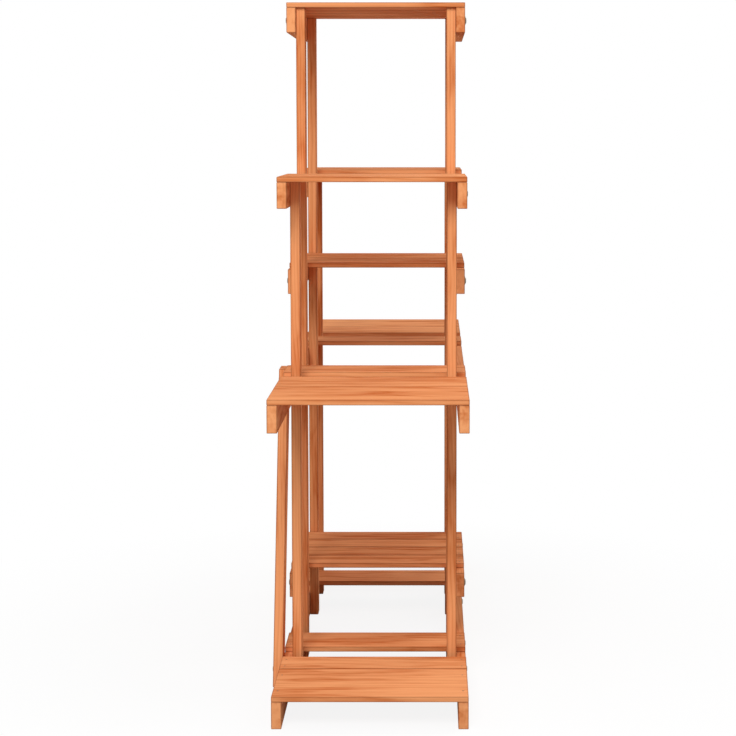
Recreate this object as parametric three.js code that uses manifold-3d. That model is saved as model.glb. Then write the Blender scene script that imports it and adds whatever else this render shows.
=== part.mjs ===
// Plant ladder stand: a slatted wooden stand with a tall middle tower and a stepped wing at each end.
// Millimetres, +Z up. +X is the front, Y runs along the stand, and the origin is on the floor
// below the middle of the stand's outer box. Left is -Y and right is +Y.
import * as THREE from 'three';
import { mergeVertices } from 'three/addons/utils/BufferGeometryUtils.js';
import Module from 'manifold-3d';

const wasm = await Module();
wasm.setup();

// Timber sections
const railThickness = 13; // front-to-back size of a rail
const railHeight = 35;
const uprightThickness = 13; // front-to-back size of an upright
const uprightWidth = 24; // size of an upright along the stand
const slatThickness = 7;
const braceThickness = 13;
const braceWidth = 35;

// Layout
const frameDepth = 250; // front to back, over the rails, and the length of every slat
const towerClear = 206; // between the two tower uprights on one side
const wingClear = 101; // between a tower upright and the wing upright beside it
const towerOverhang = 6; // of the tower's rails beyond the tower uprights
const wingShelfOverhang = 58; // of the wing shelf's rails beyond the wing upright

// Heights of the shelves' top faces. The step's rails stand on the floor.
const stepHeight = railHeight + slatThickness;
const lowShelfHeight = 131.5;
const midShelfHeight = 425.5;
const towerShelfHeight = 567;
const wingShelfHeight = 695;
const topShelfHeight = 934;

// Slats
const topSlatGap = 4;
const towerSlatGap = 3;
const wingSlatGap = 3;
const towerSlatPlay = 0.5; // from a tower upright to the slats inside the tower
const wingSlatPlay = 7.6; // from a tower upright to the wing shelf's slats
const broadSlatGap = 2; // between the two broad slats outside a wing upright
const midOuterSlat = 118; // width of the mid shelf's outermost slat
const midInnerSlat = 90; // and of the slat between it and the wing upright
const stepOuterSlat = 120; // the same two on the step
const stepInnerSlat = 54;
const wingOuterPlay = 13; // from a wing upright to the slat outside it
const wingInnerPlay = 9; // from a wing upright to the slat inside it
const towerOuterPlay = 19.5; // from a tower upright to that same slat
const towerSlatCount = 4;
const wingSlatCount = 3;

// Braces: the middle of a brace, against the middle of the upright that it passes
const braceFootOffset = 9.5; // outside the wing upright's, at the floor
const braceHeadOffset = 2; // outside the tower upright's, at the top of the mid shelf's rail

// Screws
const screwRadius = 2.5;
const screwHeadRadius = 4.4;
const screwHeadHeight = 2.2; // with the washer
const washerRadius = 6;
const washerThickness = 0.8;
const screwTipLength = 4;
const screwBite = 9.5; // how far a screw goes into an upright
const screwPlay = 0.3; // around the shank and beyond its tip
const holeSides = 8;
const headSides = 12;

const stainedFir = 0xd1824f;
const screwSteel = 0xa9a49c;

// Places that follow from the sizes above, with the frame's middle at x = 0
const railOuterX = frameDepth / 2;
const railInnerX = railOuterX - railThickness;
const towerInnerY = towerClear / 2;
const towerOuterY = towerInnerY + uprightWidth;
const wingInnerY = towerOuterY + wingClear;
const wingOuterY = wingInnerY + uprightWidth;
const towerY = (towerInnerY + towerOuterY) / 2;
const wingY = (wingInnerY + wingOuterY) / 2;
const towerReach = towerOuterY + towerOverhang;
const wingReach = wingOuterY + wingShelfOverhang;
const midReach = wingOuterY + wingOuterPlay + midInnerSlat + broadSlatGap + midOuterSlat;
const stepReach = wingOuterY + wingOuterPlay + stepInnerSlat + broadSlatGap + stepOuterSlat;

const sides = { front: 1, back: -1 };
const ends = { left: -1, right: 1 };

// Each shelf: its height, how far its rails reach from the middle and the uprights they are screwed to
const shelves = {
  step: { height: stepHeight, reach: stepReach, crossings: [towerY, wingY] },
  low_shelf: { height: lowShelfHeight, reach: towerReach, crossings: [towerY] },
  mid_shelf: { height: midShelfHeight, reach: midReach, crossings: [towerY, wingY] },
  tower_shelf: { height: towerShelfHeight, reach: towerReach, crossings: [towerY] },
  wing_shelf: { height: wingShelfHeight, reach: wingReach, crossings: [towerY, wingY] },
  top_shelf: { height: topShelfHeight, reach: towerReach, crossings: [towerY] },
};
const railMiddleZ = (shelf) => shelf.height - slatThickness - railHeight / 2;

const stand = new THREE.Group();

function addPiece(name, geometry, color, roughness, metalness) {
  const material = new THREE.MeshStandardMaterial({ color, roughness, metalness });
  const mesh = new THREE.Mesh(geometry, material);
  mesh.name = name;
  stand.add(mesh);
}

const addTimber = (name, geometry) => addPiece(name, geometry, stainedFir, 0.6, 0);
const addSteel = (name, geometry) => addPiece(name, geometry, screwSteel, 0.35, 1);

// A closed geometry as a solid that can be cut
function toSolid(geometry) {
  geometry.deleteAttribute('normal');
  geometry.deleteAttribute('uv');
  const merged = mergeVertices(geometry);
  const vertProperties = new Float32Array(merged.attributes.position.array);
  const triVerts = new Uint32Array(merged.index.array);
  return new wasm.Manifold(new wasm.Mesh({ numProp: 3, vertProperties, triVerts }));
}

function toGeometry(solid) {
  const mesh = solid.getMesh();
  const geometry = new THREE.BufferGeometry();
  geometry.setAttribute('position', new THREE.BufferAttribute(new Float32Array(mesh.vertProperties), 3));
  geometry.setIndex(new THREE.BufferAttribute(new Uint32Array(mesh.triVerts), 1));
  geometry.computeVertexNormals();
  return geometry;
}

// A box between two corners
function boxBetween([x0, y0, z0], [x1, y1, z1]) {
  const size = [Math.abs(x1 - x0), Math.abs(y1 - y0), Math.abs(z1 - z0)];
  const middle = [(x0 + x1) / 2, (y0 + y1) / 2, (z0 + z1) / 2];
  return new THREE.BoxGeometry(...size).translate(...middle);
}

// Turns a shape made along Y to point along X, outwards on the side given
function alongX(geometry, side) {
  const xAxis = new THREE.Vector3(side, 0, 0);
  const yAxis = new THREE.Vector3(0, side, 0);
  const zAxis = new THREE.Vector3(0, 0, 1);
  return geometry.applyMatrix4(new THREE.Matrix4().makeBasis(zAxis, xAxis, yAxis));
}

// The timber with a screw hole along X, from x = from to x = to, at each [y, z]
function drill(timber, holes, from, to) {
  const radius = screwRadius + screwPlay;
  let solid = toSolid(timber);
  for (const [y, z] of holes) {
    const bit = alongX(new THREE.CylinderGeometry(radius, radius, Math.abs(to - from), holeSides), 1);
    solid = solid.subtract(toSolid(bit.translate((from + to) / 2, y, z)));
  }
  return toGeometry(solid);
}

// A pan-head screw and its washer, turned as one, with the washer lying on x = seat.
// The clamped thickness is that of the timber between the washer and the upright.
function screw(seat, y, z, clamped) {
  const length = clamped + screwBite;
  const profile = [
    new THREE.Vector2(0, -length),
    new THREE.Vector2(screwRadius, screwTipLength - length),
    new THREE.Vector2(screwRadius, 0),
    new THREE.Vector2(washerRadius, 0),
    new THREE.Vector2(washerRadius, washerThickness),
    new THREE.Vector2(screwHeadRadius, washerThickness),
    new THREE.Vector2(screwHeadRadius * 0.8, (washerThickness + 2 * screwHeadHeight) / 3),
    new THREE.Vector2(screwHeadRadius * 0.4, screwHeadHeight),
    new THREE.Vector2(0, screwHeadHeight),
  ];
  const turned = alongX(new THREE.LatheGeometry(profile, headSides), Math.sign(seat));
  return toGeometry(toSolid(turned.translate(seat, y, z)));
}

// Uprights stand inside the rails, each with a blind hole for the screw of every rail that crosses it
function addUprights(name, innerY, outerY, top, crossed) {
  const middleY = (innerY + outerY) / 2;
  for (const [endName, end] of Object.entries(ends)) {
    for (const [sideName, side] of Object.entries(sides)) {
      const outer = [side * railInnerX, end * outerY, 0];
      const inner = [side * (railInnerX - uprightThickness), end * innerY, top];
      const holes = crossed.map((shelf) => [end * middleY, railMiddleZ(shelf)]);
      const mouth = side * (railInnerX + screwPlay);
      const bottom = side * (railInnerX - screwBite - screwPlay);
      addTimber(`${endName}_${sideName}_${name}`, drill(boxBetween(outer, inner), holes, mouth, bottom));
    }
  }
}

const allShelves = Object.values(shelves);
const wingCrossed = allShelves.filter((shelf) => shelf.crossings.includes(wingY));
addUprights('tower_upright', towerInnerY, towerOuterY, topShelfHeight - slatThickness, allShelves);
addUprights('wing_upright', wingInnerY, wingOuterY, wingShelfHeight - slatThickness, wingCrossed);

// A rail lies right under its slats, on the outer faces of the uprights
function addRail(name, side, shelf, fromY, toY, crossings) {
  const top = shelf.height - slatThickness;
  const blank = boxBetween([side * railInnerX, fromY, top - railHeight], [side * railOuterX, toY, top]);
  const holes = crossings.map((y) => [y, railMiddleZ(shelf)]);
  const inner = side * (railInnerX - screwPlay);
  const outer = side * (railOuterX + screwPlay);
  addTimber(name, drill(blank, holes, inner, outer));
}

// The wing shelf's rails end at the tower upright's inner face, and the others run right through
for (const [sideName, side] of Object.entries(sides)) {
  for (const [shelfName, shelf] of Object.entries(shelves)) {
    if (shelf === shelves.wing_shelf) {
      for (const [endName, end] of Object.entries(ends)) {
        const crossings = shelf.crossings.map((y) => end * y);
        const name = `${endName}_${sideName}_${shelfName}_rail`;
        addRail(name, side, shelf, end * towerInnerY, end * shelf.reach, crossings);
      }
    } else {
      const crossings = shelf.crossings.flatMap((y) => [-y, y]);
      addRail(`${sideName}_${shelfName}_rail`, side, shelf, -shelf.reach, shelf.reach, crossings);
    }
  }
}

// Slats lie across the front and back rails, one for each pair of edges
function addSlats(name, height, edges) {
  edges.forEach(([fromY, toY], index) => {
    const low = [-railOuterX, fromY, height - slatThickness];
    addTimber(`${name}_slat_${index + 1}`, boxBetween(low, [railOuterX, toY, height]));
  });
}

// The edges of equal slats that fill the way from one y to another
function evenEdges(fromY, toY, count, gap) {
  const width = (toY - fromY - (count - 1) * gap) / count;
  return Array.from({ length: count }, (_, index) => {
    const start = fromY + index * (width + gap);
    return [start, start + width];
  });
}

// The edges on one wing of the mid shelf or the step, from the outer end inwards
function broadEdges(reach, outerSlat) {
  return [
    [reach, reach - outerSlat],
    [reach - outerSlat - broadSlatGap, wingOuterY + wingOuterPlay],
    [wingInnerY - wingInnerPlay, towerOuterY + towerOuterPlay],
  ];
}

const towerSlatReach = towerInnerY - towerSlatPlay;
const towerEdges = evenEdges(-towerSlatReach, towerSlatReach, towerSlatCount, towerSlatGap);
addSlats('top_shelf', topShelfHeight, evenEdges(-towerReach, towerReach, towerSlatCount, topSlatGap));
addSlats('tower_shelf', towerShelfHeight, towerEdges);
addSlats('low_shelf', lowShelfHeight, towerEdges);

const wingEdges = {
  wing_shelf: evenEdges(towerOuterY + wingSlatPlay, wingReach, wingSlatCount, wingSlatGap),
  mid_shelf: broadEdges(midReach, midOuterSlat),
  step: broadEdges(stepReach, stepOuterSlat),
};
for (const [endName, end] of Object.entries(ends)) {
  for (const [shelfName, edges] of Object.entries(wingEdges)) {
    const placed = edges.map((edge) => edge.map((y) => end * y));
    addSlats(`${endName}_${shelfName}`, shelves[shelfName].height, placed);
  }
}

// Braces lie on the back rails, from the wing upright's foot to the tower upright at the mid shelf.
// Both ends are cut level, so that the foot stands on the floor and the head is flush with the rail.
const braceTopZ = midShelfHeight - slatThickness;
const braceFootY = wingY + braceFootOffset;
const braceHeadY = towerY + braceHeadOffset;
const braceLean = Math.atan2(braceFootY - braceHeadY, braceTopZ);
const braceHalfCut = braceWidth / 2 / Math.cos(braceLean);
const braceOuterX = -railOuterX - braceThickness;

// The places [y, shelf] where a brace is screwed through a rail to an upright
const braceFixings = { lower: [wingY, shelves.step], upper: [towerY, shelves.mid_shelf] };

for (const [endName, end] of Object.entries(ends)) {
  const corners = [
    [braceFootY + braceHalfCut, 0],
    [braceHeadY + braceHalfCut, braceTopZ],
    [braceHeadY - braceHalfCut, braceTopZ],
    [braceFootY - braceHalfCut, 0],
  ];
  const outline = new THREE.Shape(corners.map(([y, z]) => new THREE.Vector2(end * y, z)));
  const blank = new THREE.ExtrudeGeometry(outline, { depth: braceThickness, bevelEnabled: false });
  // The outline's x and y become the stand's y and z, and its thickness runs along x
  const xAxis = new THREE.Vector3(1, 0, 0);
  const yAxis = new THREE.Vector3(0, 1, 0);
  const zAxis = new THREE.Vector3(0, 0, 1);
  blank.applyMatrix4(new THREE.Matrix4().makeBasis(yAxis, zAxis, xAxis)).translate(braceOuterX, 0, 0);
  const holes = Object.values(braceFixings).map(([y, shelf]) => [end * y, railMiddleZ(shelf)]);
  addTimber(`${endName}_brace`, drill(blank, holes, braceOuterX - screwPlay, screwPlay - railOuterX));
}

// Longer screws hold the braces, and shorter ones the top shelf's front rail
for (const [endName, end] of Object.entries(ends)) {
  for (const [placeName, [y, shelf]] of Object.entries(braceFixings)) {
    const braceScrew = screw(braceOuterX, end * y, railMiddleZ(shelf), braceThickness + railThickness);
    addSteel(`${endName}_${placeName}_brace_screw`, braceScrew);
  }
  const topScrew = screw(railOuterX, end * towerY, railMiddleZ(shelves.top_shelf), railThickness);
  addSteel(`${endName}_front_top_screw`, topScrew);
}

// The braces make the back deeper than the front, so the origin moves to the middle of the whole
stand.position.x = braceThickness / 2;

export default stand;
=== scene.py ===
"""The looks of a slatted wooden plant stand with a tall middle tower and a stepped wing at each end.

Every board is a closed surface with eased edges and its own run of grain, every crossing has its
screw, and every slat its brads. Metres, +Z up, +X the open front, and Y along the stand.
"""
import math
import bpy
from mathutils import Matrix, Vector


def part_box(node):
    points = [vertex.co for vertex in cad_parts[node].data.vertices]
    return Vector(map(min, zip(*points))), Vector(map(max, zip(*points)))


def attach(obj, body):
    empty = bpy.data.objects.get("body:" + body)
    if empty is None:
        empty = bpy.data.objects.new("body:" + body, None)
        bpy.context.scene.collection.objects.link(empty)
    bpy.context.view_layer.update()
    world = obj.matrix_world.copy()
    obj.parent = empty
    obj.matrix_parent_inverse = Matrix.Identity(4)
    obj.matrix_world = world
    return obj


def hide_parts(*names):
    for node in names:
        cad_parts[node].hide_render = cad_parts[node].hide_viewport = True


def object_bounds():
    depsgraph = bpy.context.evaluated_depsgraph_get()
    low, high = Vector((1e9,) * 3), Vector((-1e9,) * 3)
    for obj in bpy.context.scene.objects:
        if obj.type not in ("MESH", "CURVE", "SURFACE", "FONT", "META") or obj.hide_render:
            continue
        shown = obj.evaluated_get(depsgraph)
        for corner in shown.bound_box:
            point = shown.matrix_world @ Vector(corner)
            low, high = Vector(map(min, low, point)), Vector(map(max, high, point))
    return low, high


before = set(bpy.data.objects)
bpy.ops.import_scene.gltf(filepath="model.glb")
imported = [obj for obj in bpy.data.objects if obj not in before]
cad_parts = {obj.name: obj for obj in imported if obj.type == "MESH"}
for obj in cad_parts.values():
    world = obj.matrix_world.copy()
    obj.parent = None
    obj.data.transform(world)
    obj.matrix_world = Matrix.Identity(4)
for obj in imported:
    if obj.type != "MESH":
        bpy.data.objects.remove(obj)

import zlib

import bpy
import numpy as np
from bpy.props import FloatProperty, FloatVectorProperty, PointerProperty

bl_info = {
    "name": "Plant stand",
    "version": (1, 0, 0),
    "blender": (4, 5, 0),
    "location": "3D View > Sidebar > Plant stand",
    "description": "Builds the boards, screws and studio of a slatted wooden plant stand",
    "category": "Add Mesh",
}

MM = 0.001
CAD_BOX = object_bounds()
NODES = sorted(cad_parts)

# The photograph's frame, in its own pixels
PHOTO_SIZE = 736
FOCAL_PIXELS = 1806.5
SENSOR_WIDTH = 36.0  # millimetres

# The eye point, 2.2 m beyond the stand's left end, higher than the wing shelves and lower than the
# top one. A slight tilt downwards takes up part of the photograph's lens shift, so that views from
# elsewhere stay whole.
EYE = (0.0847, -2.6759, 0.7555)
EYE_TILT = math.radians(4.258)
LENS_SHIFT = (-0.0865, -0.14)

# Lamps
SOFTBOX_PLACE = (-0.35, -2.6, 2.4)
SOFTBOX_SIZE = 1.2
SUN_TOWARDS = (0.62, 0.45, 0.64)
SUN_ANGLE = math.radians(50)

# The floor, and how far from the origin its shading fades into plain white
FLOOR_REACH = 12.0
FADE_START = 0.40
FADE_END = 0.80
NEAR_WHITE = 0.88  # share of plain white where the shading is strongest

# Noises of the finishes, in waves per metre along a board, across it and through it
WANDER_WAVES = (3.5, 16, 16)
SHIVER_WAVES = (9, 70, 70)
FLAME_WAVES = (5.5, 34, 34)
STREAK_WAVES = (4.5, 125, 125)
FIBRE_WAVES = (14, 1100, 1100)
# The next noise varies the shade painted along the eased edges
EDGE_SHADE_WAVES = (24, 90, 90)
MOTTLE_WAVES = (900, 900, 900)

# How the year rings run: their drift for each metre along, and how far the two noises move them
RING_DRIFT = 0.012
RING_WANDER = 20 * MM
RING_SHIVER = 2.2 * MM

# Where a board is cut: how far its middle may lie from the tree's middle, and how far up the tree
PITH_NEAREST = 18 * MM
PITH_FURTHEST = 60 * MM
TREE_LENGTH = 3.0

# Boards
EASE_STEPS = 3  # steps round a quarter of an eased edge
EDGE_SHADE_REACH = 1.1 * MM  # from an eased edge to where the shade painted along it fades out
WELD_STEP = 0.001 * MM  # points that agree to this step are one
SLACK = 0.1 * MM  # more than the rounding between pieces that meet

# The dip round a brad in a slat: its depth, its flat floor and its rim
SINK_DEPTH = 0.5 * MM
SINK_FLOOR = 1.4 * MM
SINK_RIM = 2.1 * MM
SINK_LINES = np.linspace(-2.4, 2.4, 9) * MM

# Screws
WASHER_FLANGE = 0.8 * MM
WASHER_EASE = 0.15 * MM
SCREW_SHANK = 2.5 * MM
SCREW_TIP = 4 * MM
SCREW_SIDES = 48
DOME_STEPS = 12
DOME_POWER = 0.55  # below 1 it makes the dome flatter on top and steeper at its rim
CROSS_DEPTH = 0.9 * MM
CROSS_ARM = (0.35 * MM, 0.65 * MM)  # half the width of an arm of the cross, at its floor and its rim
CROSS_REACH = (1.9 * MM, 2.4 * MM)  # and its length from the middle
CROSS_CLEAR = 0.2 * MM  # above the washer, and only what is higher than this sinks

# Brads: their heights run up from the tip, with the edge of the head's face at 0
BRAD_SPREAD = 0.28  # share of a slat's width from its middle to a brad
BRAD_SINK = 0.32 * MM
BRAD_SHANK = 0.6 * MM
BRAD_HEIGHTS = np.array([-20, -18, -0.9, -0.5, -0.12, 0, 0.04]) * MM
BRAD_SIDES = 10
POLE = 0.05 * MM  # radius of the small ring that closes a turned surface


def linear(red, green, blue):
    """A colour written in 0 to 255 as a screen shows it, in the linear values that shaders take."""
    screen = np.array([red, green, blue]) / 255
    return tuple(np.where(screen <= 0.04045, screen / 12.92, ((screen + 0.055) / 1.055) ** 2.4))


def opaque(colour):
    """A colour with the fourth value that a colour socket takes."""
    return (*colour, 1.0)


# --------------------------------------------------------------------------------------------
# Settings


class TimberSettings(bpy.types.PropertyGroup):
    """Sizes and colours of the boards."""

    edge_radius: FloatProperty(
        name="Edge radius",
        description="Radius of the eased edges of every board",
        default=0.9 * MM,
        min=0.1 * MM,
        unit="LENGTH",
    )
    ring_width: FloatProperty(
        name="Ring width",
        description="Width of one year's growth in the grain",
        default=4.2 * MM,
        min=0.5 * MM,
        unit="LENGTH",
    )
    light_colour: FloatVectorProperty(
        name="Early wood",
        description="Stained colour of the pale part of the grain",
        default=linear(240, 163, 109),
        subtype="COLOR",
        min=0,
        max=1,
    )
    dark_colour: FloatVectorProperty(
        name="Late wood",
        description="Stained colour of the dark streaks of the grain",
        default=linear(190, 94, 38),
        subtype="COLOR",
        min=0,
        max=1,
    )
    # A dark colour painted along every eased edge as shade, standing in for the shade in the gaps and at
    # the outlines between boards
    edge_shade_colour: FloatVectorProperty(
        name="Edges",
        description="Colour of the stain gathered along the edges and in hollows",
        default=linear(104, 36, 12),
        subtype="COLOR",
        min=0,
        max=1,
    )


class FixingSettings(bpy.types.PropertyGroup):
    """Sizes and colour of the screws and brads."""

    head_radius: FloatProperty(
        name="Screw head radius",
        description="Radius of a screw's domed head",
        default=4.4 * MM,
        unit="LENGTH",
    )
    head_height: FloatProperty(
        name="Screw head height",
        description="Height of a screw's head above the timber, with its washer",
        default=2.2 * MM,
        unit="LENGTH",
    )
    washer_radius: FloatProperty(
        name="Washer radius",
        description="Radius of the washer under a screw's head",
        default=6.0 * MM,
        unit="LENGTH",
    )
    brad_radius: FloatProperty(
        name="Brad head radius",
        description="Radius of the head of a brad in a slat",
        default=1.3 * MM,
        unit="LENGTH",
    )
    colour: FloatVectorProperty(
        name="Steel",
        description="Colour of the plated steel",
        default=linear(142, 130, 114),
        subtype="COLOR",
        min=0,
        max=1,
    )


class StageSettings(bpy.types.PropertyGroup):
    """The studio's floor and light."""

    floor_colour: FloatVectorProperty(
        name="Floor",
        description="Colour of the floor round the stand",
        default=(0.92, 0.92, 0.92),
        subtype="COLOR",
        min=0,
        max=1,
    )
    bounce_share: FloatProperty(
        name="Bounce",
        description="Share of the floor's colour that it throws back up at the stand",
        default=0.5,
        min=0,
        max=1,
    )
    fill_strength: FloatProperty(
        name="Fill",
        description="Strength of the light from all round",
        default=0.5,
        min=0,
    )
    key_power: FloatProperty(
        name="Key",
        description="Power of the softbox over the eye point",
        default=62,
        min=0,
        unit="POWER",
    )
    sun_strength: FloatProperty(
        name="Sun",
        description="Strength of the weaker light from the open front and the right end",
        default=0.9,
        min=0,
    )


# --------------------------------------------------------------------------------------------
# Shader expressions


class Signal:
    """A socket of a material's nodes. Arithmetic on signals adds the Math nodes that work it out."""

    def __init__(self, tree, socket=None):
        self.tree = tree
        self.socket = socket

    def node(self, kind, settings=None, inputs=None, output=0):
        """Adds a node of any kind: first its settings, then the values or links of its sockets."""
        made = self.tree.nodes.new(kind)
        for name, value in (settings or {}).items():
            if name == "stops":
                made.color_ramp.elements[0].position = value[0][0]
                made.color_ramp.elements[-1].position = value[-1][0]
                for position, _ in value[1:-1]:
                    made.color_ramp.elements.new(position)
                for element, (_, grey) in zip(made.color_ramp.elements, value):
                    element.color = (grey, grey, grey, 1)
            else:
                setattr(made, name, value)
        for name, value in (inputs or {}).items():
            if isinstance(value, Signal):
                self.tree.links.new(value.socket, made.inputs[name])
            else:
                made.inputs[name].default_value = value
        return Signal(self.tree, made.outputs[output])

    def math(self, operation, *values):
        return self.node("ShaderNodeMath", {"operation": operation}, dict(enumerate(values)))

    def __add__(self, other):
        return self.math("ADD", self, other)

    def __sub__(self, other):
        return self.math("SUBTRACT", self, other)

    def __rsub__(self, other):
        return self.math("SUBTRACT", other, self)

    def __mul__(self, other):
        return self.math("MULTIPLY", self, other)

    def __truediv__(self, other):
        return self.math("DIVIDE", self, other)

    def __pow__(self, other):
        return self.math("POWER", self, other)

    def __rtruediv__(self, other):
        return self.math("DIVIDE", other, self)

    def __rpow__(self, other):
        return self.math("POWER", other, self)

    __radd__ = __add__
    __rmul__ = __mul__

    def stretched(self, x, y, z):
        """A vector signal scaled along each axis."""
        return self.node("ShaderNodeVectorMath", {"operation": "MULTIPLY"}, {0: self, 1: (x, y, z)})

    def noise(self, waves, detail=2.0):
        """Noise from 0 to 1 with so many waves per metre along each axis."""
        coordinates = self.stretched(*waves)
        inputs = {"Vector": coordinates, "Scale": 1.0, "Detail": detail, "Roughness": 0.55}
        return self.node("ShaderNodeTexNoise", {"noise_dimensions": "3D"}, inputs)

    def ramp(self, *stops):
        """A grey that runs through (position, grey) stops."""
        return self.node("ShaderNodeValToRGB", {"stops": stops}, {0: self})

    def blend(self, first, second):
        """The colour between two, by this signal."""
        inputs = {0: self, 6: first, 7: second}
        return self.node("ShaderNodeMix", {"data_type": "RGBA"}, inputs, output=2)


def empty_material(name):
    """The material of that name with no nodes but its output, and a signal that starts its expressions."""
    material = bpy.data.materials.get(name) or bpy.data.materials.new(name)
    material.use_nodes = True
    tree = material.node_tree
    tree.nodes.clear()
    output = tree.nodes.new("ShaderNodeOutputMaterial")
    return material, Signal(tree), output


def attribute(start, name, output="Fac"):
    """A value that the mesh stores at its points."""
    return start.node("ShaderNodeAttribute", {"attribute_name": name}, output=output)


def stained_fir(timber):
    """Orange-stained fir. Rings round the tree's middle are cut by the board's faces, so that one
    solid pattern gives streaks along a board and arcs on its end."""
    material, start, output = empty_material("stained_fir_finish")
    grain = attribute(start, "grain", "Vector")
    tone = attribute(start, "tone")
    edge = attribute(start, "edge")
    end = attribute(start, "end")

    along = grain.node("ShaderNodeSeparateXYZ", inputs={0: grain}, output="X")
    across = grain.node("ShaderNodeSeparateXYZ", inputs={0: grain}, output="Y")
    deep = grain.node("ShaderNodeSeparateXYZ", inputs={0: grain}, output="Z")

    # Distance from the tree's middle, in rings, wandering slowly along the board
    wander = grain.noise(WANDER_WAVES) - 0.5
    shiver = grain.noise(SHIVER_WAVES) - 0.5
    distance = (across * across + deep * deep) ** 0.5
    moved = distance + along * RING_DRIFT + wander * RING_WANDER + shiver * RING_SHIVER
    rings = moved / timber.ring_width
    late = rings.math("FRACT", rings).ramp((0.0, 0.25), (0.10, 0.0), (0.45, 0.10), (0.86, 1.0), (1.0, 0.25))

    # Long flames where the rings are cut flat, with a sharp dark rim on one side of each
    flame = grain.noise(FLAME_WAVES, detail=3.0)
    flare = flame.ramp((0.0, 0.0), (0.42, 0.12), (0.53, 0.42), (0.60, 1.0), (0.68, 0.55), (1.0, 0.8))
    fibre = grain.noise(FIBRE_WAVES)
    streak = grain.noise(STREAK_WAVES)

    # Each pattern darkens the wood by its own share, and rings show less on a board's end
    rings_share = 0.28 - end * 0.18
    darkness = late * rings_share + flare * 0.62 + streak * 0.86 + fibre * 0.20 + tone * 0.13 - 0.56
    wood = darkness.blend(opaque(timber.light_colour), opaque(timber.dark_colour))
    # Painted shade: a dark line along every eased edge, standing in for the shade in the gaps and at the
    # outlines between boards, varied by a noise
    painted_edge_shade = edge**2.0 * (0.50 + 0.60 * grain.noise(EDGE_SHADE_WAVES))
    colour = painted_edge_shade.blend(wood, opaque(timber.edge_shade_colour))

    relief = late * 0.5 + fibre * 0.8 + streak * 0.3
    bump = {"Strength": 0.35, "Distance": 0.12 * MM, "Height": relief}
    shader = start.node(
        "ShaderNodeBsdfPrincipled",
        inputs={
            "Base Color": colour,
            "Roughness": 0.66 + fibre * 0.16 + late * 0.06,
            "Normal": start.node("ShaderNodeBump", inputs=bump),
            "IOR": 1.46,
            "Specular IOR Level": 0.04,
        },
    )
    start.tree.links.new(shader.socket, output.inputs["Surface"])
    return material


def plated_steel(fixings):
    """Zinc-plated steel with a faint mottle."""
    material, start, output = empty_material("plated_steel_finish")
    place = start.node("ShaderNodeTexCoord", output="Object")
    mottle = place.noise(MOTTLE_WAVES, detail=3.0)
    dull = tuple(0.55 * value for value in fixings.colour)
    shader = start.node(
        "ShaderNodeBsdfPrincipled",
        inputs={
            "Base Color": mottle.blend(opaque(dull), opaque(fixings.colour)),
            "Roughness": 0.26 + mottle * 0.28,
            "Metallic": 1.0,
        },
    )
    start.tree.links.new(shader.socket, output.inputs["Surface"])
    return material


# --------------------------------------------------------------------------------------------
# Surfaces


def grid_faces(rows, columns):
    """Triangles of a grid whose columns close on themselves."""
    row, column = np.meshgrid(np.arange(rows - 1), np.arange(columns), indexing="ij")
    beside = (column + 1) % columns
    a = row * columns + column
    b = row * columns + beside
    c = (row + 1) * columns + beside
    d = (row + 1) * columns + column
    triangles = np.stack([a, b, c, a, c, d], axis=-1)
    return triangles.reshape(-1, 3)


def capped(rows, columns):
    """The grid's triangles with a fan over its first row and one over its last."""
    step = np.arange(1, columns - 1)
    first = np.stack([np.zeros_like(step), step + 1, step], axis=-1)
    last = (rows - 1) * columns + np.stack([np.zeros_like(step), step, step + 1], axis=-1)
    return np.concatenate([grid_faces(rows, columns), first, last])


def weld(points, faces):
    """Points that coincide become one, and triangles that this flattens to a line go."""
    keys = np.round(points / WELD_STEP).astype(np.int64)
    _, first, where = np.unique(keys, axis=0, return_index=True, return_inverse=True)
    faces = where.ravel()[faces]
    sides = faces - np.roll(faces, 1, axis=1)
    return first, faces[np.all(sides != 0, axis=1)]


def new_piece(name, points, faces, normals, material, attributes=None):
    """An object with the surface as its mesh, at the origin, riding on the stand."""
    mesh = bpy.data.meshes.new(name)
    mesh.from_pydata(points.tolist(), [], faces.tolist())
    mesh.shade_smooth()
    mesh.normals_split_custom_set_from_vertices(normals.tolist())
    for key, values in (attributes or {}).items():
        kind, field = ("FLOAT_VECTOR", "vector") if values.ndim == 2 else ("FLOAT", "value")
        layer = mesh.attributes.new(key, kind, "POINT")
        layer.data.foreach_set(field, values.astype(np.float32).ravel())
    mesh.materials.append(material)
    piece = bpy.data.objects.new(name, mesh)
    bpy.context.scene.collection.objects.link(piece)
    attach(piece, "root")
    return piece


def smooth_step(low, high, value):
    """0 below low, 1 above high, and 3t² - 2t³ between them."""
    t = np.clip((value - low) / (high - low), 0, 1)
    return t * t * (3 - 2 * t)


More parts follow.
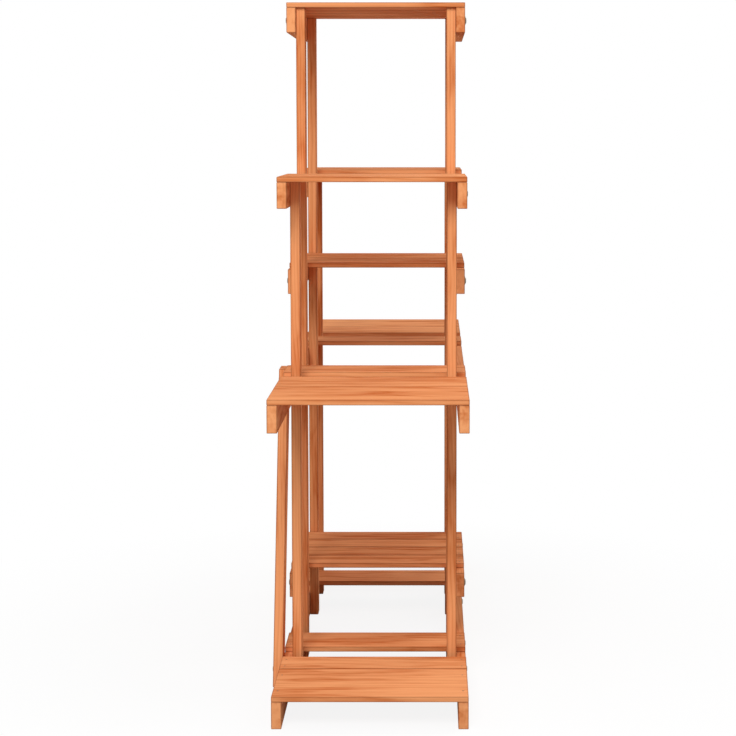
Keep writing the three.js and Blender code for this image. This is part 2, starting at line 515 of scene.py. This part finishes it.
def board_surface(half, radius, sinks=None):
    """A board along its own first axis with eased edges, as (points, normals, faces).

    half holds half its length, width and thickness. Every point is a corner of the box drawn in by
    the radius, plus the radius times the outward normal N(u, v) = (sin v, cos v cos u, cos v sin u).
    u goes once round the section, and v from -90 to 90 degrees from one end to the other. More lines
    lie EDGE_SHADE_REACH in from every edge. sinks holds the brads' places along the first two axes, where
    the top face dips by a smooth round step.
    """
    length, width, thickness = np.asarray(half) - radius
    quarter = np.linspace(0, math.pi / 2, EASE_STEPS + 1)
    both = np.array([-1, 1])
    lines_a = both * (length - EDGE_SHADE_REACH)
    lines_b = both * (width - EDGE_SHADE_REACH)
    lines_c = both * (thickness - EDGE_SHADE_REACH)
    top_lines = lines_b
    if sinks is not None:
        lines_a = np.unique(np.append(lines_a, sinks[:, :1] + SINK_LINES).round(7))
        top_lines = np.unique(np.append(lines_b, sinks[:, 1:] + SINK_LINES).round(7))

    section = (
        (quarter, width, thickness),
        (math.pi / 2, top_lines[::-1], thickness),
        (quarter + math.pi / 2, -width, thickness),
        (math.pi, -width, lines_c[::-1]),
        (quarter + math.pi, -width, -thickness),
        (1.5 * math.pi, lines_b, -thickness),
        (quarter + 1.5 * math.pi, width, -thickness),
        (2 * math.pi, width, lines_c),
    )
    turn, core_b, core_c = np.concatenate([np.stack(np.broadcast_arrays(*run), -1) for run in section]).T
    run_along = (
        (-math.pi / 2, -length, EDGE_SHADE_REACH),
        (quarter - math.pi / 2, -length, 0),
        (0, lines_a, 0),
        (quarter, length, 0),
        (math.pi / 2, length, EDGE_SHADE_REACH),
    )
    rows = [np.atleast_2d(np.stack(np.broadcast_arrays(*run), -1)) for run in run_along]
    rise, core_a, inset = np.concatenate(rows).T[:, :, None]

    u, v = np.broadcast_arrays(turn, rise)
    normals = np.stack([np.sin(v), np.cos(v) * np.cos(u), np.cos(v) * np.sin(u)], axis=-1)
    clipped_b = np.clip(core_b, inset - width, width - inset)
    clipped_c = np.clip(core_c, inset - thickness, thickness - inset)
    cores = np.stack(np.broadcast_arrays(core_a, clipped_b, clipped_c), axis=-1)
    points = cores + radius * normals
    if sinks is not None:
        offset = points[:, :, None, :2] - sinks
        reach = np.linalg.norm(offset, axis=-1)
        rim_width = SINK_RIM - SINK_FLOOR
        t = np.clip((reach - SINK_FLOOR) / rim_width, 0, 1)
        dip = SINK_DEPTH * (1 - smooth_step(SINK_FLOOR, SINK_RIM, reach))
        slope = SINK_DEPTH * 6 * t * (1 - t) / rim_width
        top = normals[..., 2] > 0.999  # on the flat face, where the eased edges have ended
        points[..., 2] -= np.where(top, dip.max(axis=-1), 0)
        pull = (slope / np.maximum(reach, 1e-9))[..., None] * offset
        normals[..., :2] -= np.where(top[..., None], pull.sum(axis=2), 0)
        normals /= np.linalg.norm(normals, axis=-1, keepdims=True)
    faces = capped(len(rise), len(turn))
    return points.reshape(-1, 3), normals.reshape(-1, 3), faces


def turned_surface(radii, heights, sides):
    """A profile of radii and heights turned round the first axis, as (points, normals, faces):
    P(u, v) = (h(v), r(v) cos u, r(v) sin u), with N along (-r'(v), h'(v) cos u, h'(v) sin u)."""
    radii = np.asarray(radii, float)
    heights = np.asarray(heights, float)
    u = np.linspace(0, 2 * math.pi, sides, endpoint=False)
    circle = np.stack([np.cos(u), np.sin(u)], axis=-1)
    points = np.empty((len(radii), sides, 3))
    points[..., 0] = heights[:, None]
    points[..., 1:] = radii[:, None, None] * circle
    slope_r = np.gradient(radii)
    slope_h = np.gradient(heights)
    normals = np.empty_like(points)
    normals[..., 0] = -slope_r[:, None]
    normals[..., 1:] = slope_h[:, None, None] * circle
    normals /= np.maximum(np.linalg.norm(normals, axis=-1, keepdims=True), 1e-12)
    return points.reshape(-1, 3), normals.reshape(-1, 3), capped(len(radii), sides)


# --------------------------------------------------------------------------------------------
# Boards


def node_box(name):
    """A node's lowest and highest corners, as arrays."""
    low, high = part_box(name)
    return np.array(low), np.array(high)


def names_with(word):
    """The nodes whose names hold the word. There are always some, or the frame isn't this stand's."""
    names = [name for name in NODES if word in name]
    if not names:
        raise ValueError(f"no node's name holds {word}")
    return names


def brad_places(name):
    """Where a slat is nailed to the rails below it, as world x and y: two brads over each rail."""
    low, high = node_box(name)
    middle = (low + high) / 2
    front, back = (sum(node_box(f"{side}_mid_shelf_rail")) / 2 for side in ("front", "back"))
    spread = BRAD_SPREAD * (high[1] - low[1])
    return np.array([(x, middle[1] + s * spread) for x in (front[0], back[0]) for s in (-1, 1)])


def brace_lean(name):
    """How far a brace goes along the stand for each metre up, from the middles of its foot and head."""
    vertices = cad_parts[name].data.vertices
    points = np.array([vertex.co for vertex in vertices])
    low, high = points[:, 2].min(), points[:, 2].max()
    foot = points[points[:, 2] < low + SLACK, 1]
    head = points[points[:, 2] > high - SLACK, 1]
    return (head.min() + head.max() - foot.min() - foot.max()) / 2 / (high - low)


def add_board(name, timber, finish):
    """One board in the place of its node, with its grain along its longest side.

    A brace is a straight board sheared along its width, P(a, b, c) = (a, b + lean a, c).
    """
    low, high = node_box(name)
    centre, half = (low + high) / 2, (high - low) / 2
    order = np.argsort(-half, kind="stable")
    sinks = brad_places(name) - centre[:2] if "_slat_" in name else None
    lean = brace_lean(name) if name.endswith("_brace") else 0.0
    half = half[order]
    half[1] -= abs(lean) * half[0]
    points, normals, faces = board_surface(half, timber.edge_radius, sinks)
    end = np.abs(normals[:, 0])
    # Closeness to the nearest edge: the mask of the shade painted along the edges
    from_edge = np.sort(half - np.abs(points), axis=1)[:, 1]
    edge = 1 - np.clip(from_edge / (timber.edge_radius + EDGE_SHADE_REACH), 0, 1)

    chance = np.random.default_rng(zlib.crc32(name.encode()))
    off_middle = 0.5 * half[1]
    pith = chance.uniform((0, -off_middle, PITH_NEAREST), (TREE_LENGTH, off_middle, PITH_FURTHEST))
    tone = chance.uniform(-1, 1)
    grain = points + pith

    points[:, 1] += lean * points[:, 0]
    normals[:, 0] -= lean * normals[:, 1]
    normals /= np.linalg.norm(normals, axis=1, keepdims=True)
    kept, faces = weld(points, faces)
    placed = np.empty_like(points)
    placed[:, order] = points
    facing = np.empty_like(normals)
    facing[:, order] = normals
    if np.linalg.det(np.eye(3)[order]) < 0:
        faces = faces[:, ::-1]
    attributes = {
        "grain": grain[kept],
        "tone": np.full(len(kept), tone),
        "edge": edge[kept],
        "end": end[kept],
    }
    piece = new_piece(f"{name}_board", (placed + centre)[kept], faces, facing[kept], finish, attributes)
    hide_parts(name)


def add_boards(names, timber):
    """Every named board, all in one finish."""
    finish = stained_fir(timber)
    for name in names:
        add_board(name, timber, finish)


# --------------------------------------------------------------------------------------------
# Screws and brads


def screw_seat(name, fixings):
    """Where a screw's node is seated along X, how far it goes in from there, and its key."""
    low, high = node_box(name)
    side = 1 if low[0] > 0 else -1
    seat = (high[0] if side > 0 else low[0]) - side * fixings.head_height
    middle = (low + high) / 2
    key = (round(float(middle[1]), 4), round(float(middle[2]), 4), side)
    return float(seat), float(high[0] - low[0] - fixings.head_height), key


def screw_places(fixings):
    """Every crossing of a rail and an upright as {(y, z, side): (seat x, shank length, no node)}."""
    shank = screw_seat("left_front_top_screw", fixings)[1]
    places = {}
    for rail in names_with("_rail"):
        low, high = node_box(rail)
        side = 1 if low[0] > 0 else -1
        seat = high[0] if side > 0 else low[0]
        for upright in names_with("_upright"):
            upright_low, upright_high = node_box(upright)
            middle_y = (upright_low[1] + upright_high[1]) / 2
            same_side = (upright_low[0] > 0) == (side > 0)
            if same_side and low[1] < middle_y < high[1] and high[2] < upright_high[2] + SLACK:
                key = (round(float(middle_y), 4), round(float((low[2] + high[2]) / 2), 4), side)
                places[key] = (float(seat), shank, None)
    return places


def screw_surface(length, fixings):
    """A pan-head screw on its washer along the first axis, seated at 0, with a cross sunk in its head.

    The dome is h = flange + (height - flange) sin t and r = head cos(t)^DOME_POWER, for t from 0 to
    90 degrees. Each arm of the cross sinks it where one coordinate is small and the other is short.
    """
    head, height, washer = fixings.head_radius, fixings.head_height, fixings.washer_radius
    rise = np.linspace(0, math.pi / 2, DOME_STEPS)
    dome_radii = head * np.cos(rise) ** DOME_POWER
    dome_radii[-1] = POLE
    dome_heights = WASHER_FLANGE + (height - WASHER_FLANGE) * np.sin(rise)
    rim = washer - WASHER_EASE
    radii = [POLE, SCREW_SHANK, SCREW_SHANK, rim, washer, washer, rim, *dome_radii]
    top = WASHER_FLANGE - WASHER_EASE
    heights = [-length, SCREW_TIP - length, 0, 0, WASHER_EASE, top, WASHER_FLANGE, *dome_heights]
    points, normals, faces = turned_surface(radii, heights, SCREW_SIDES)
    across = np.abs(points[:, 1:])
    arm = 1 - smooth_step(*CROSS_ARM, across.min(axis=1))
    reach = 1 - smooth_step(*CROSS_REACH, across.max(axis=1))
    on_head = points[:, 0] > WASHER_FLANGE + CROSS_CLEAR
    points[:, 0] -= np.where(on_head, CROSS_DEPTH * arm * reach, 0)
    return points, normals, faces


def place_along_x(surface, side, seat, y, z):
    """The surface turned to point outwards along X on its side of the stand, and put in its place."""
    points, normals, faces = surface
    turn = np.array([side, side, 1])
    return points * turn + (seat, y, z), normals * turn, faces


def brad_surface(fixings):
    """A brad along the first axis: a shank with a pointed tip under a low flat head."""
    radius = fixings.brad_radius
    radii = [POLE, BRAD_SHANK, BRAD_SHANK, radius, radius, 0.6 * radius, POLE]
    return turned_surface(radii, BRAD_HEIGHTS, BRAD_SIDES)


def joined(surfaces):
    """Several surfaces as one."""
    counts = np.cumsum([0] + [len(points) for points, _, _ in surfaces])
    points = np.concatenate([points for points, _, _ in surfaces])
    normals = np.concatenate([normals for _, normals, _ in surfaces])
    faces = np.concatenate([faces + count for (_, _, faces), count in zip(surfaces, counts)])
    return points, normals, faces


# --------------------------------------------------------------------------------------------
# Operators


class PLANTSTAND_OT_uprights(bpy.types.Operator):
    """Add the eight uprights"""

    bl_idname = "plant_stand.uprights"
    bl_label = "Uprights"

    def execute(self, context):
        add_boards(names_with("_upright"), context.scene.stand_timber)
        return {"FINISHED"}


class PLANTSTAND_OT_rails(bpy.types.Operator):
    """Add the rails that carry the shelves"""

    bl_idname = "plant_stand.rails"
    bl_label = "Rails"

    def execute(self, context):
        add_boards(names_with("_rail"), context.scene.stand_timber)
        return {"FINISHED"}


class PLANTSTAND_OT_slats(bpy.types.Operator):
    """Add the slats of every shelf, sunk where their brads are"""

    bl_idname = "plant_stand.slats"
    bl_label = "Slats"

    def execute(self, context):
        add_boards(names_with("_slat_"), context.scene.stand_timber)
        return {"FINISHED"}


class PLANTSTAND_OT_braces(bpy.types.Operator):
    """Add the slanted braces on the back"""

    bl_idname = "plant_stand.braces"
    bl_label = "Braces"

    def execute(self, context):
        braces = [name for name in names_with("_brace") if name.endswith("_brace")]
        add_boards(braces, context.scene.stand_timber)
        return {"FINISHED"}


class PLANTSTAND_OT_screws(bpy.types.Operator):
    """Add a screw at every crossing of a rail and an upright"""

    bl_idname = "plant_stand.screws"
    bl_label = "Screws"

    def execute(self, context):
        fixings = context.scene.stand_fixings
        steel = plated_steel(fixings)
        places = screw_places(fixings)
        for name in names_with("_screw"):
            seat, length, key = screw_seat(name, fixings)
            places[key] = (seat, length, name)
        for index, ((y, z, side), (seat, length, node)) in enumerate(sorted(places.items())):
            points, normals, faces = place_along_x(screw_surface(length, fixings), side, seat, y, z)
            name = f"{node}_steel" if node else f"rail_screw_{index + 1:02d}"
            piece = new_piece(name, points, faces, normals, steel)
            if node:
                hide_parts(node)
        return {"FINISHED"}


class PLANTSTAND_OT_brads(bpy.types.Operator):
    """Add the brads that hold the slats to the rails"""

    bl_idname = "plant_stand.brads"
    bl_label = "Brads"

    def execute(self, context):
        fixings = context.scene.stand_fixings
        points, normals, faces = brad_surface(fixings)
        points, normals = points[:, [1, 2, 0]], normals[:, [1, 2, 0]]  # its length along Z
        surfaces = []
        for name in names_with("_slat_"):
            top = node_box(name)[1][2] - BRAD_SINK
            for x, y in brad_places(name):
                surfaces.append((points + (x, y, top), normals, faces))
        points, normals, faces = joined(surfaces)
        piece = new_piece("slat_brads", points, faces, normals, plated_steel(fixings))
        return {"FINISHED"}


class PLANTSTAND_OT_stage(bpy.types.Operator):
    """Add the floor, the lights, the white surroundings and the camera"""

    bl_idname = "plant_stand.stage"
    bl_label = "Stage"

    def execute(self, context):
        stage = context.scene.stand_stage
        add_floor(stage)
        add_softbox(stage.key_power)
        add_sun(stage.sun_strength)
        add_surroundings(context.scene, stage)
        add_camera(context.scene)
        return {"FINISHED"}


# --------------------------------------------------------------------------------------------
# Stage


def seen_directly(start):
    """1 for rays from the camera, off a gloss or through glass, and 0 for those that carry light."""
    camera = start.node("ShaderNodeLightPath", output="Is Camera Ray")
    gloss = start.node("ShaderNodeLightPath", output="Is Glossy Ray")
    glass = start.node("ShaderNodeLightPath", output="Is Transmission Ray")
    return camera.math("MAXIMUM", camera, gloss.math("MAXIMUM", gloss, glass))


def add_floor(stage):
    """A square floor. The camera sees it mostly as plain white, with a faint shadow near the stand,
    and it throws less light up under the shelves than its colour would."""
    material, start, output = empty_material("studio_floor")
    place = start.node("ShaderNodeTexCoord", output="Object")
    distance = place.node("ShaderNodeVectorMath", {"operation": "LENGTH"}, {0: place}, output="Value")
    white_share = distance.ramp((FADE_START, NEAR_WHITE), (FADE_END, 1.0))
    seen = seen_directly(start)
    bounce = tuple(stage.bounce_share * value for value in stage.floor_colour)
    colour = seen.blend(opaque(bounce), opaque(stage.floor_colour))
    matt = start.node("ShaderNodeBsdfDiffuse", inputs={"Color": colour})
    white = start.node("ShaderNodeEmission", inputs={"Color": (1, 1, 1, 1), "Strength": 1.0})
    shader = start.node("ShaderNodeMixShader", inputs={0: white_share * seen, 1: matt, 2: white})
    start.tree.links.new(shader.socket, output.inputs["Surface"])
    mesh = bpy.data.meshes.new("floor")
    corners = [(x * FLOOR_REACH, y * FLOOR_REACH, 0) for x, y in ((-1, -1), (1, -1), (1, 1), (-1, 1))]
    mesh.from_pydata(corners, [], [(0, 1, 2, 3)])
    mesh.materials.append(material)
    floor = bpy.data.objects.new("floor", mesh)
    bpy.context.scene.collection.objects.link(floor)


def aimed(name, light, towards):
    """A lamp whose light travels against the direction given."""
    x, y, z = towards
    lamp = bpy.data.objects.new(name, light)
    lamp.rotation_euler = (math.atan2(math.hypot(x, y), z), 0, math.atan2(y, x) + math.pi / 2)
    bpy.context.scene.collection.objects.link(lamp)
    return lamp


def add_softbox(power):
    """The main light, a softbox over the eye point, so that the far end is dimmer than the near one."""
    light = bpy.data.lights.new("softbox", "AREA")
    light.shape = "SQUARE"
    light.size = SOFTBOX_SIZE
    light.energy = power
    towards = np.array(SOFTBOX_PLACE) - (0, 0, CAD_BOX[1][2] / 2)
    aimed("softbox", light, towards).location = SOFTBOX_PLACE


def add_sun(strength):
    """A weaker, very soft light from the open front and the right end."""
    light = bpy.data.lights.new("sun", "SUN")
    light.energy = strength
    light.angle = SUN_ANGLE
    aimed("sun", light, SUN_TOWARDS)


def add_surroundings(scene, stage):
    """An even white world, which the camera sees at full white."""
    world = bpy.data.worlds.new("studio")
    world.use_nodes = True
    tree = world.node_tree
    tree.nodes.clear()
    output = tree.nodes.new("ShaderNodeOutputWorld")
    start = Signal(tree)
    strength = stage.fill_strength + (1 - stage.fill_strength) * seen_directly(start)
    shader = start.node("ShaderNodeBackground", inputs={"Color": (1, 1, 1, 1), "Strength": strength})
    tree.links.new(shader.socket, output.inputs["Surface"])
    scene.world = world


def add_camera(scene):
    """The photograph's camera, looking along the stand from its left end."""
    camera = bpy.data.cameras.new("camera")
    camera.sensor_width = SENSOR_WIDTH
    camera.lens = FOCAL_PIXELS / PHOTO_SIZE * SENSOR_WIDTH
    camera.shift_x, camera.shift_y = LENS_SHIFT
    holder = bpy.data.objects.new("camera", camera)
    holder.location = EYE
    holder.rotation_euler = (math.pi / 2 - EYE_TILT, 0, 0)
    scene.collection.objects.link(holder)
    scene.camera = holder
    scene.view_settings.view_transform = "Standard"


# --------------------------------------------------------------------------------------------
# Panel and registration

OPERATORS = (
    PLANTSTAND_OT_uprights,
    PLANTSTAND_OT_rails,
    PLANTSTAND_OT_slats,
    PLANTSTAND_OT_braces,
    PLANTSTAND_OT_screws,
    PLANTSTAND_OT_brads,
    PLANTSTAND_OT_stage,
)


class PLANTSTAND_PT_panel(bpy.types.Panel):
    """The settings and the steps of the stand, in the order they are run"""

    bl_label = "Plant stand"
    bl_space_type = "VIEW_3D"
    bl_region_type = "UI"
    bl_category = "Plant stand"

    def draw(self, context):
        for key in SETTINGS:
            group = getattr(context.scene, key)
            box = self.layout.box()
            for name in type(group).__annotations__:
                box.prop(group, name)
        for operator in OPERATORS:
            self.layout.operator(operator.bl_idname)


SETTINGS = {
    "stand_timber": TimberSettings,
    "stand_fixings": FixingSettings,
    "stand_stage": StageSettings,
}


def register():
    for group in (*SETTINGS.values(), *OPERATORS, PLANTSTAND_PT_panel):
        bpy.utils.register_class(group)
    for key, group in SETTINGS.items():
        setattr(bpy.types.Scene, key, PointerProperty(type=group))


def unregister():
    for key in SETTINGS:
        delattr(bpy.types.Scene, key)
    for group in reversed((*SETTINGS.values(), *OPERATORS, PLANTSTAND_PT_panel)):
        bpy.utils.unregister_class(group)


def main():
    register()
    bpy.ops.plant_stand.uprights()
    bpy.ops.plant_stand.rails()
    bpy.ops.plant_stand.slats()
    bpy.ops.plant_stand.braces()
    bpy.ops.plant_stand.screws()
    bpy.ops.plant_stand.brads()
    bpy.ops.plant_stand.stage()


if __name__ == "__main__":
    main()
